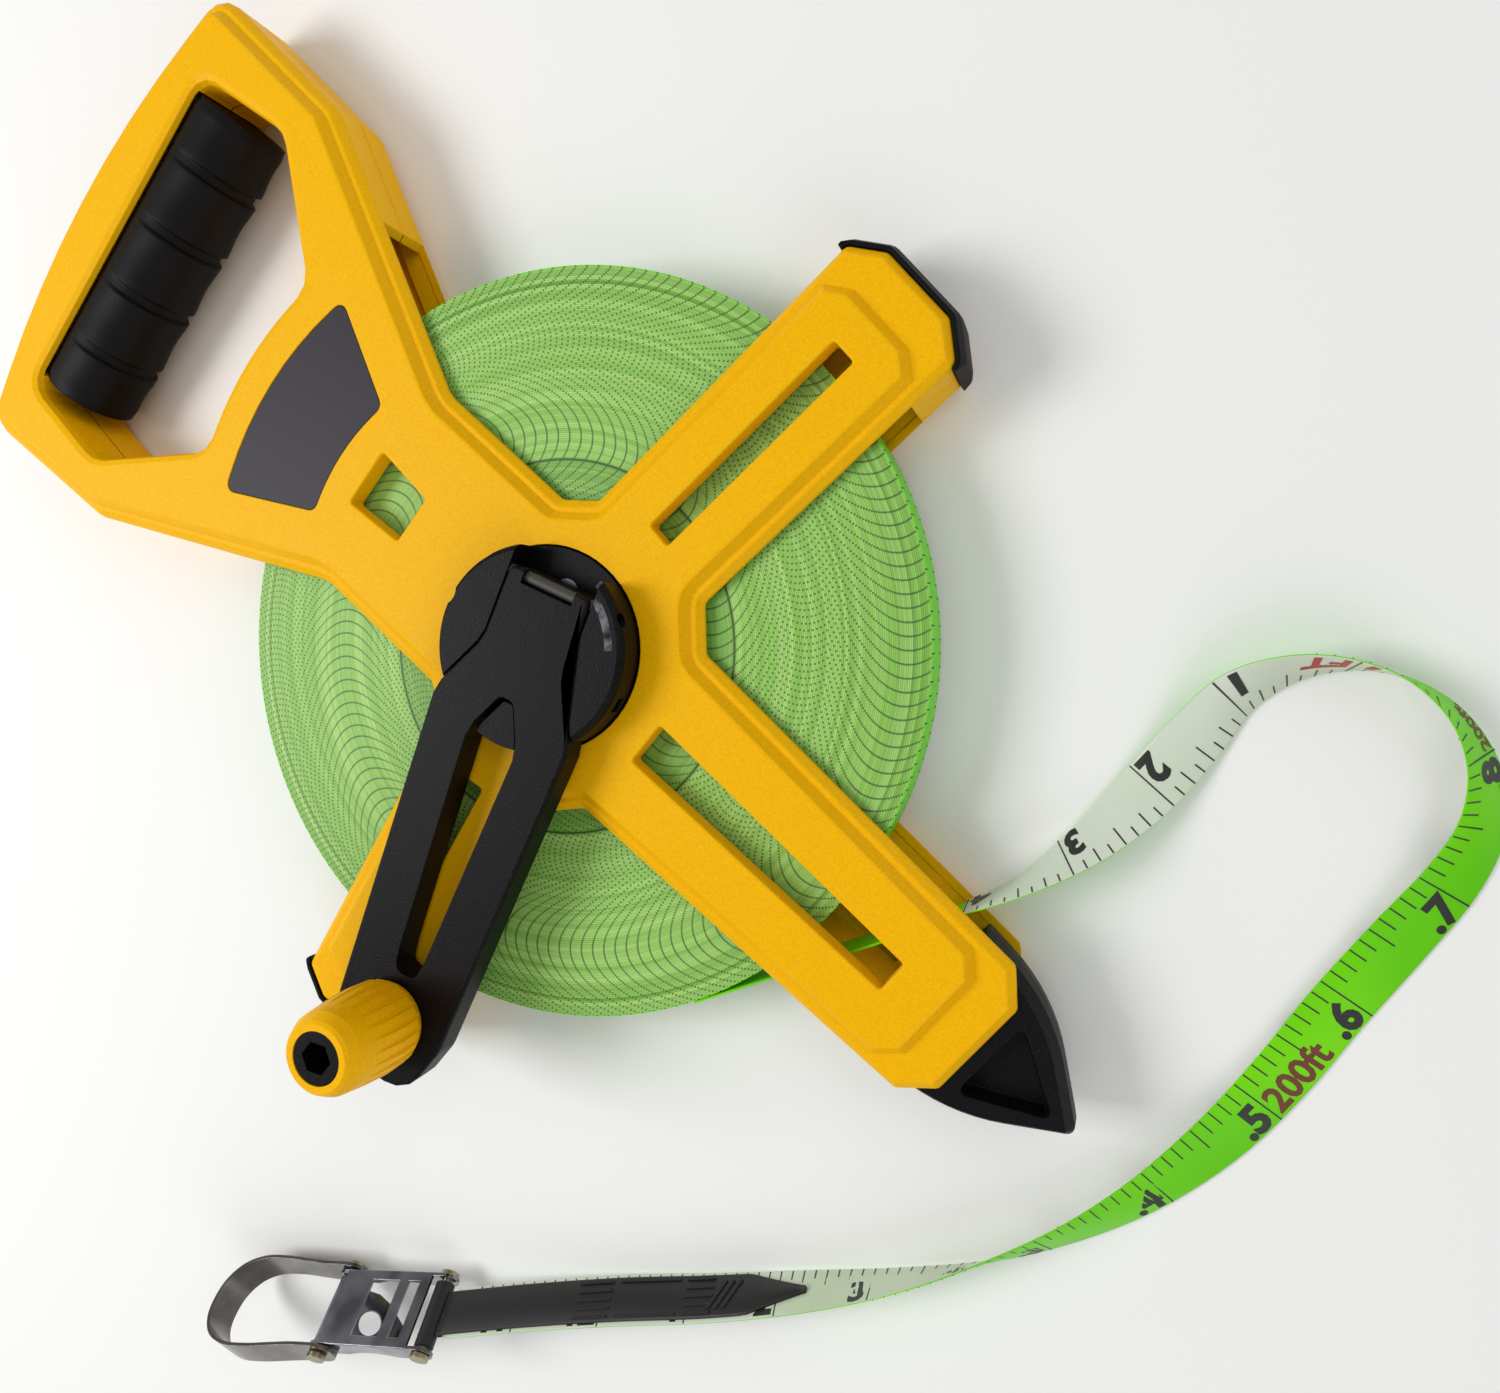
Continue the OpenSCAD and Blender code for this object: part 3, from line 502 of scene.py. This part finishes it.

# The same nylon on the hub, with a painted highlight: a grey crescent near the edge on one side stands for
# light on the hub's raised rim
HIGHLIGHT_R, HIGHLIGHT_HALF_W = 21.4 * MM, 1.0 * MM
HIGHLIGHT_TURN, HIGHLIGHT_HALF_TURN = math.radians(-27), math.radians(24)
hub_nylon, tree, shader, tone = moulded_nylon("nylon_glass_filled_rim_highlight", 0.3 * MM)
hub_r, hub_turn = round_the_axle(tree)
in_ring = add_node(tree, "Math", [hub_r, HIGHLIGHT_R, HIGHLIGHT_HALF_W], operation="COMPARE")
in_turn = add_node(tree, "Math", [hub_turn, HIGHLIGHT_TURN, HIGHLIGHT_HALF_TURN], operation="COMPARE")
patchy, noise = patchwork(tree, 2.5 * MM, 3.0, 0.35, 0.6, "#000000", "#FFFFFF")
# Painted highlight: the crescent, broken into patches, turns the hub grey where light would fall on its rim
crescent = add_node(tree, "Math", [in_ring, in_turn], operation="MULTIPLY")
rim_highlight = add_node(tree, "Math", [crescent, patchy], operation="MULTIPLY")
paint(tree, shader, add_node(tree, "Mix", {0: rim_highlight, 6: tone, 7: srgb("#77757A")}, data_type="RGBA"))

# Printed polyester film: dark grey, satin and flat
label_film, tree, shader = start_material("polyester_label_film", "#3B383E", 0.45, Specular_IOR_Level=0.15)
spot = add_node(tree, "TexCoord").outputs["Object"]
skin = add_node(tree, "TexNoise", {"Vector": spot, "Scale": 1 / (0.8 * MM)})
round_edges(tree, shader, 0.2 * MM, skin, 0.008 * MM)

# Steel, turned and zinc plated: bluish grey, fairly bright
zinc, tree, shader = start_material("zinc_plated_steel", "#B9BCC2", 0.34, 1.0)
round_edges(tree, shader, 0.15 * MM)

# Steel rod, phosphated and oiled: dark grey and dull
dull_steel, tree, shader = start_material("phosphated_steel", "#55534F", 0.6, 0.6)
round_edges(tree, shader, 0.15 * MM)

# Acetal, turned: milky white and smooth
acetal, tree, shader = start_material("acetal_natural", "#DEDDD6", 0.35)
round_edges(tree, shader, 0.2 * MM)

# Spring steel with a thin dark nickel plate: smooth, mirror-like, a warm grey
nickel, tree, shader = start_material("dark_nickel_plated_steel", "#75706D", 0.22, 1.0)
tone, noise = patchwork(tree, 6 * MM, 2.0, 0.35, 0.7, "#6A6562", "#7C7774")
paint(tree, shader, tone)
round_edges(tree, shader, 0.25 * MM)

# Bright nickel plate on pressed steel: a clean mirror, slightly cloudy where the plate is thin
bright_nickel, tree, shader = start_material("bright_nickel_plated_steel", "#8F8E93", 0.14, 1.0)
tone, noise = patchwork(tree, 9 * MM, 1.0, 0.35, 0.65, "#66656B", "#98989E")
paint(tree, shader, tone)
round_edges(tree, shader, 0.3 * MM)

# Rivets turned from nickel silver: a warm, slightly brassy grey
rivet_metal, tree, shader = start_material("nickel_silver_turned", "#A79E7C", 0.32, 1.0)
round_edges(tree, shader, 0.25 * MM)

# Wound tape seen from its edge: each wrap is a pale line of glass fibre and green coat, and every printed
# tick reaches the edge as a dark dash, so the dashes of neighbouring wraps line up in curved rows. The wraps
# are drawn at 0.5 mm, a little coarser than the real 0.4 mm, so that they show.
WRAP = TAPE_T
TICK = 3.175 * MM
PACK_R = 94 * MM
LOOSE_FROM, LOOSE_TO = 86 * MM, 89 * MM
GAP_R, GAP_HALF = 47 * MM, 0.3 * MM
wound, tree, shader = start_material("wound_tape_edge", "#AAE178", 0.55)
radius, turn = round_the_axle(tree)
wraps = add_node(tree, "Math", [radius, WRAP], operation="DIVIDE")
wrap_number = add_node(tree, "Math", [wraps], operation="FLOOR")
half_up = add_node(tree, "Math", [wrap_number, 0.5], operation="ADD")
wrap_r = add_node(tree, "Math", [half_up, WRAP], operation="MULTIPLY")
wrap_r_squared = add_node(tree, "Math", [wrap_r, wrap_r], operation="MULTIPLY")
ticks_below = add_node(tree, "Math", [wrap_r_squared, math.pi / (WRAP * TICK)], operation="MULTIPLY")
arc = add_node(tree, "Math", [turn, wrap_r], operation="MULTIPLY")
ticks_along = add_node(tree, "Math", [arc, 1 / TICK], operation="MULTIPLY")
ticks = add_node(tree, "Math", [ticks_below, ticks_along], operation="ADD")
into_tick = add_node(tree, "Math", [ticks], operation="FRACT")
dash = add_node(tree, "Math", [into_tick, 0.15], operation="LESS_THAN")
in_wrap = add_node(tree, "Math", [wraps], operation="FRACT")
seam = add_node(tree, "Math", [in_wrap, 0.22], operation="LESS_THAN")
# Slow bands of lighter and darker wraps
tone_r = add_node(tree, "Math", [radius, 900.0], operation="MULTIPLY")
tone_turn = add_node(tree, "Math", [turn, 0.6], operation="MULTIPLY")
tone_place = add_node(tree, "CombineXYZ", {"X": tone_r, "Y": tone_turn})
wrap_tone = add_node(tree, "TexNoise", {"Vector": tone_place, "Scale": 1.0, "Detail": 3.0}).outputs[0]
share = add_node(tree, "MapRange", {"Value": wrap_tone, "From Min": 0.3, "From Max": 0.7})
body = add_node(tree, "Mix", {0: share, 6: srgb("#8CC94C"), 7: srgb("#BBE682")}, data_type="RGBA")
seamed = add_node(tree, "Mix", {0: seam, 6: body, 7: srgb("#B9D8A4")}, data_type="RGBA", blend_type="MULTIPLY")
# Each wrap catches the light differently, most of all the loose ones near the rim
own = add_node(tree, "TexWhiteNoise", {"W": wrap_number}, noise_dimensions="1D").outputs["Value"]
loose = add_node(tree, "MapRange", {"Value": radius, "From Min": LOOSE_FROM, "From Max": LOOSE_TO})
strength = add_node(tree, "Math", [loose, 0.5, 0.25], operation="MULTIPLY_ADD")
share = add_node(tree, "Math", [own, strength], operation="MULTIPLY")
dim = srgb("#6F9A3C")
lined = add_node(tree, "Mix", {0: share, 6: seamed, 7: dim}, data_type="RGBA", blend_type="MULTIPLY")
# Painted shade: a dark ring at GAP_R stands for the shade in a gap between two wraps; inside it the windings
# are drawn darker and greener
inner = add_node(tree, "Math", [radius, GAP_R], operation="LESS_THAN")
gap = add_node(tree, "Math", [radius, GAP_R, GAP_HALF], operation="COMPARE")
inner_half = add_node(tree, "Math", [inner, 0.5], operation="MULTIPLY")
share = add_node(tree, "Math", [inner_half, gap], operation="MAXIMUM")
inner_tint_and_gap_shade = add_node(tree, "Mix", {0: share, 6: lined, 7: srgb("#A8C98C")}, data_type="RGBA", blend_type="MULTIPLY")
# The printed dashes and the gap's painted shade share one dark colour
dash_share = add_node(tree, "Math", [dash, 0.75], operation="MULTIPLY")
gap_share = add_node(tree, "Math", [gap, 0.8], operation="MULTIPLY")
share = add_node(tree, "Math", [dash_share, gap_share], operation="MAXIMUM")
dashes_and_gap_shade = add_node(tree, "Mix", {0: share, 6: inner_tint_and_gap_shade, 7: srgb("#2F4F1E")}, data_type="RGBA")
# The outermost wrap shows its green coat, with the printed ticks along its two edges
outer = add_node(tree, "Math", [radius, PACK_R - 0.3 * MM], operation="GREATER_THAN")
turned = add_node(tree, "Math", [turn, PACK_R / TICK], operation="MULTIPLY")
around = add_node(tree, "Math", [turned], operation="FRACT")
short = add_node(tree, "Math", [around, 0.12], operation="LESS_THAN")
spot = add_node(tree, "TexCoord").outputs["Object"]
height = add_node(tree, "SeparateXYZ", [spot]).outputs["Z"]
off_middle = add_node(tree, "Math", [height, EXIT[2]], operation="SUBTRACT")
distance = add_node(tree, "Math", [off_middle], operation="ABSOLUTE")
near_edge = add_node(tree, "Math", [distance, 3.6 * MM], operation="GREATER_THAN")
rim_tick = add_node(tree, "Math", [short, near_edge], operation="MULTIPLY")
coat = add_node(tree, "Mix", {0: rim_tick, 6: srgb("#6FD60E"), 7: srgb("#1E3A12")}, data_type="RGBA")
paint(tree, shader, add_node(tree, "Mix", {0: outer, 6: dashes_and_gap_shade, 7: coat}, data_type="RGBA"))
relief = add_node(tree, "Bump", {"Strength": 0.6, "Distance": 0.15 * MM, "Height": wrap_tone})
tree.links.new(relief.outputs["Normal"], shader.inputs["Normal"])


# ---- Grip: a rubber tube with grooves that are deep on the finger side and fade out on the palm side ----

grip_low, grip_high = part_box("handle_grip")
GRIP_R = 12.5 * MM
grip_y = grip_low.y + GRIP_R
grip_z = (grip_low.z + grip_high.z) / 2
GROOVES = [-30 * MM, -10 * MM, 10 * MM, 30 * MM]
GROOVE_HALF, GROOVE_WALL, GROOVE_DEEP = 1.1 * MM, 0.7 * MM, 1.3 * MM


def smooth_step(t):
    t = max(0.0, min(1.0, t))
    return t * t * (3 - 2 * t)


def grip_radius(x, turn):
    """Radius of the grip at x, in the direction turn, where 0 points to the fingers."""
    fingers = smooth_step((math.cos(turn) + 0.35) / 1.1)
    gap = min(abs(x - g) for g in GROOVES)
    groove = 1 - smooth_step((gap - GROOVE_HALF) / GROOVE_WALL)
    crown = 0.5 * MM * math.cos((x / (20 * MM) + 0.5) * 2 * math.pi)
    end = 0.5 * MM * smooth_step((abs(x) - grip_high.x + 3 * MM) / (3 * MM))
    return GRIP_R - 0.35 * MM + fingers * (crown * 0.6 - groove * GROOVE_DEEP) - end


GRIP_STATIONS, GRIP_AROUND = 279, 72
grip_points, grip_faces = [], []
for a in range(GRIP_STATIONS + 1):
    x = grip_low.x + (grip_high.x - grip_low.x) * a / GRIP_STATIONS
    for b in range(GRIP_AROUND):
        turn = 2 * math.pi * b / GRIP_AROUND
        r = grip_radius(x, turn)
        y = min(grip_y - r * math.cos(turn), grip_high.y)
        grip_points.append((x, y, grip_z + r * math.sin(turn)))
for a in range(GRIP_STATIONS):
    for b in range(GRIP_AROUND):
        c = (b + 1) % GRIP_AROUND
        ring, next_ring = a * GRIP_AROUND, (a + 1) * GRIP_AROUND
        grip_faces.append((ring + b, ring + c, next_ring + c, next_ring + b))
grip_faces.append(tuple(reversed(range(GRIP_AROUND))))
grip_faces.append(tuple(GRIP_STATIONS * GRIP_AROUND + b for b in range(GRIP_AROUND)))
grip = new_piece("grooved_grip", grip_points, grip_faces, rubber)
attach(grip, "frame")
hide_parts("handle_grip")


# ---- Bail: a spring-steel band bent into a loop, with a rounded lug at each end ----

hook_low, hook_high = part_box("tape_pin")
bail_low, bail_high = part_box("bail_pin")
hook_middle, bail_middle = (hook_low + hook_high) / 2, (bail_low + bail_high) / 2
along = (bail_middle - hook_middle).normalized()
level = Vector((-along.y, along.x, 0))
hook_roll = math.radians(ROUTE[-1][3])
across = math.cos(hook_roll) * level - math.sin(hook_roll) * Vector((0, 0, 1))
outward = along.cross(across)

BAIL_H, BAIL_T = 10.4 * MM, 0.9 * MM
# Middle of the band, along and across, from the lug to the far end
BAIL_HALF = [
    (-5.2, 10.9), (0, 10.9), (7, 11.0), (14, 11.5), (22, 12.1),
    (30, 11.9), (36.5, 9.6), (40.3, 5.2), (41.3, 0),
]
bail_line = [Vector((a * MM, b * MM)) for a, b in BAIL_HALF]
bail_line += [Vector((v.x, -v.y)) for v in reversed(bail_line[:-1])]


def curve_through(points, steps):
    """Points of a smooth curve through the given ones."""
    last, made = len(points) - 1, []
    for i in range(last):
        a, b, c, d = (points[max(0, min(last, k))] for k in (i - 1, i, i + 1, i + 2))
        for k in range(steps):
            t = k / steps
            curved = (c - a) * t + (2 * a - 5 * b + 4 * c - d) * t * t + (3 * b - a - 3 * c + d) * t**3
            made.append(b + 0.5 * curved)
    return made + [points[-1]]


bail_curve = curve_through(bail_line, 12)
bail_points, bail_faces = [], []
for i, v in enumerate(bail_curve):
    ahead = (bail_curve[min(i + 1, len(bail_curve) - 1)] - bail_curve[max(i - 1, 0)]).normalized()
    side = Vector((-ahead.y, ahead.x))
    half_h = BAIL_H / 2 if v.x > 0 else math.sqrt(max(0.35 * MM, BAIL_H / 2 + v.x) * (BAIL_H / 2 - v.x))
    for t, h in ((1, 1), (1, -1), (-1, -1), (-1, 1)):
        q = v + side * t * BAIL_T / 2
        bail_points.append(bail_middle + along * q.x + across * q.y + outward * h * half_h)
for i in range(len(bail_curve) - 1):
    for k in range(4):
        a, b = 4 * i + k, 4 * i + (k + 1) % 4
        bail_faces.append((a, b, b + 4, a + 4))
bail_faces += [(3, 2, 1, 0), tuple(len(bail_points) - 4 + k for k in range(4))]
bail = new_piece("hook_bail_band", bail_points, bail_faces, nickel)
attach(bail, "bail")
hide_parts("hook_bail")


# ---- Which finish each part of the reel has ----

FINISHES = {
    "front_frame": abs_yellow, "rear_frame": abs_yellow, "crank_knob": abs_knob,
    "handle_grip": rubber, "right_bumper": rubber, "left_bumper": rubber,
    "ground_spike": nylon, "axle_cap": nylon, "spool_drum": nylon, "hub_disc": hub_nylon, "crank_arm": nylon,
    "knob_spindle": nylon,
    "front_label": label_film, "rear_label": label_film,
    "frame_screws": zinc, "axle": zinc, "retaining_ring": zinc, "roller_pins": zinc, "hub_screws": zinc,
    "hinge_pin": dull_steel, "knob_screw": nylon,
    "thrust_washers": acetal, "inner_roller": acetal, "outer_roller": acetal, "front_bush": acetal,
    "rear_bush": acetal,
    "tape_pack": wound, "tape_lead": green_coat, "tape_sleeve": vinyl,
    "hook_bracket": bright_nickel, "hook_bail": nickel, "hook_claw": bright_nickel,
    "tape_pin": rivet_metal, "bail_pin": rivet_metal,
}
for name, finish in FINISHES.items():
    mesh = nodes[name].data
    mesh.materials.clear()
    mesh.materials.append(finish)


# ---- Floor and light ----

paper, tree, shader = start_material("pale_paper_floor", "#FCFCFA", 0.9)
floor = new_piece("floor", [(-3, -3, 0), (3, -3, 0), (3, 3, 0), (-3, 3, 0)], [(0, 1, 2, 3)], paper)
floor.location.z = min(0.0, cad_low[2]) - 0.1 * MM
floor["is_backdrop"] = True


def softbox(name, place, target, size, power, colour=(1, 1, 1)):
    data = bpy.data.lights.new(name, "AREA")
    data.shape, data.size, data.energy, data.color = "SQUARE", size, power, colour
    made = bpy.data.objects.new(name, data)
    made.location = place
    made.rotation_euler = (Vector(target) - Vector(place)).to_track_quat("-Z", "Y").to_euler()
    bpy.context.scene.collection.objects.link(made)


softbox("key", (-0.45, 0.55, 0.75), (0, 0, 0), 0.45, 5.6)
softbox("fill", (0.8, -0.2, 0.7), (0, 0, 0), 0.8, 1.7)
softbox("front", (-0.3, -0.8, 0.6), (0, 0, 0), 0.6, 1.6)

world = bpy.data.worlds.new("studio")
world.use_nodes = True
world.node_tree.nodes["Background"].inputs["Color"].default_value = (1, 1, 1, 1)
world.node_tree.nodes["Background"].inputs["Strength"].default_value = 0.4
bpy.context.scene.world = world
bpy.context.scene.view_settings.view_transform = "Standard"
